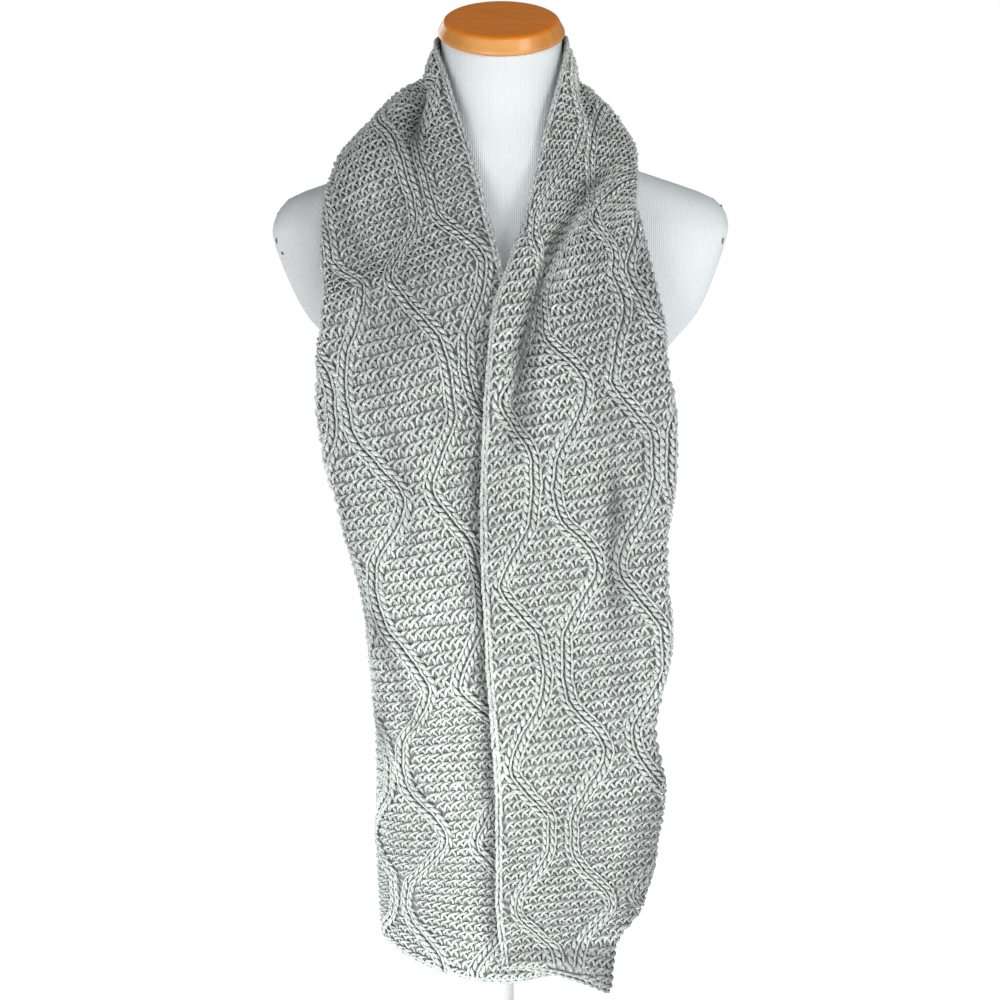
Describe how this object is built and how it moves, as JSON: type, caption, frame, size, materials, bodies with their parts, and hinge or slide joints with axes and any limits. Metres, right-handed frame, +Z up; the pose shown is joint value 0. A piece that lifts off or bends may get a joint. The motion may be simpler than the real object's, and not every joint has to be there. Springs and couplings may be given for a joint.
{
  "type": "knit scarf on dress form",
  "caption": "Chunky cabled knit scarf hung round the neck of a limbless canvas dress form, its ends overlapping down the front, on a pole and round foot.",
  "frame": {"origin": "centre of the underside of the round foot that the dress form stands on", "axes": "+Z up; the scarf's front faces -Y; +X is the viewer's right, where the strand on top hangs"},
  "size_m": [0.4208, 0.3, 1.0473],
  "materials": {
    "knit": "grey heather wool, chunky, matt",
    "canvas": "white woven canvas, matt",
    "cap_wood": "honey varnish, glossy",
    "stand": "white satin"
  },
  "bodies": {
    "root": {"scarf_neck": "knit", "scarf_left_front": "knit", "scarf_left_return": "knit", "scarf_right_front": "knit", "scarf_right_return": "knit", "form_torso": "canvas", "form_neck_cap": "cap_wood", "form_pole": "stand", "form_base": "stand"}
  },
  "joints": []
}
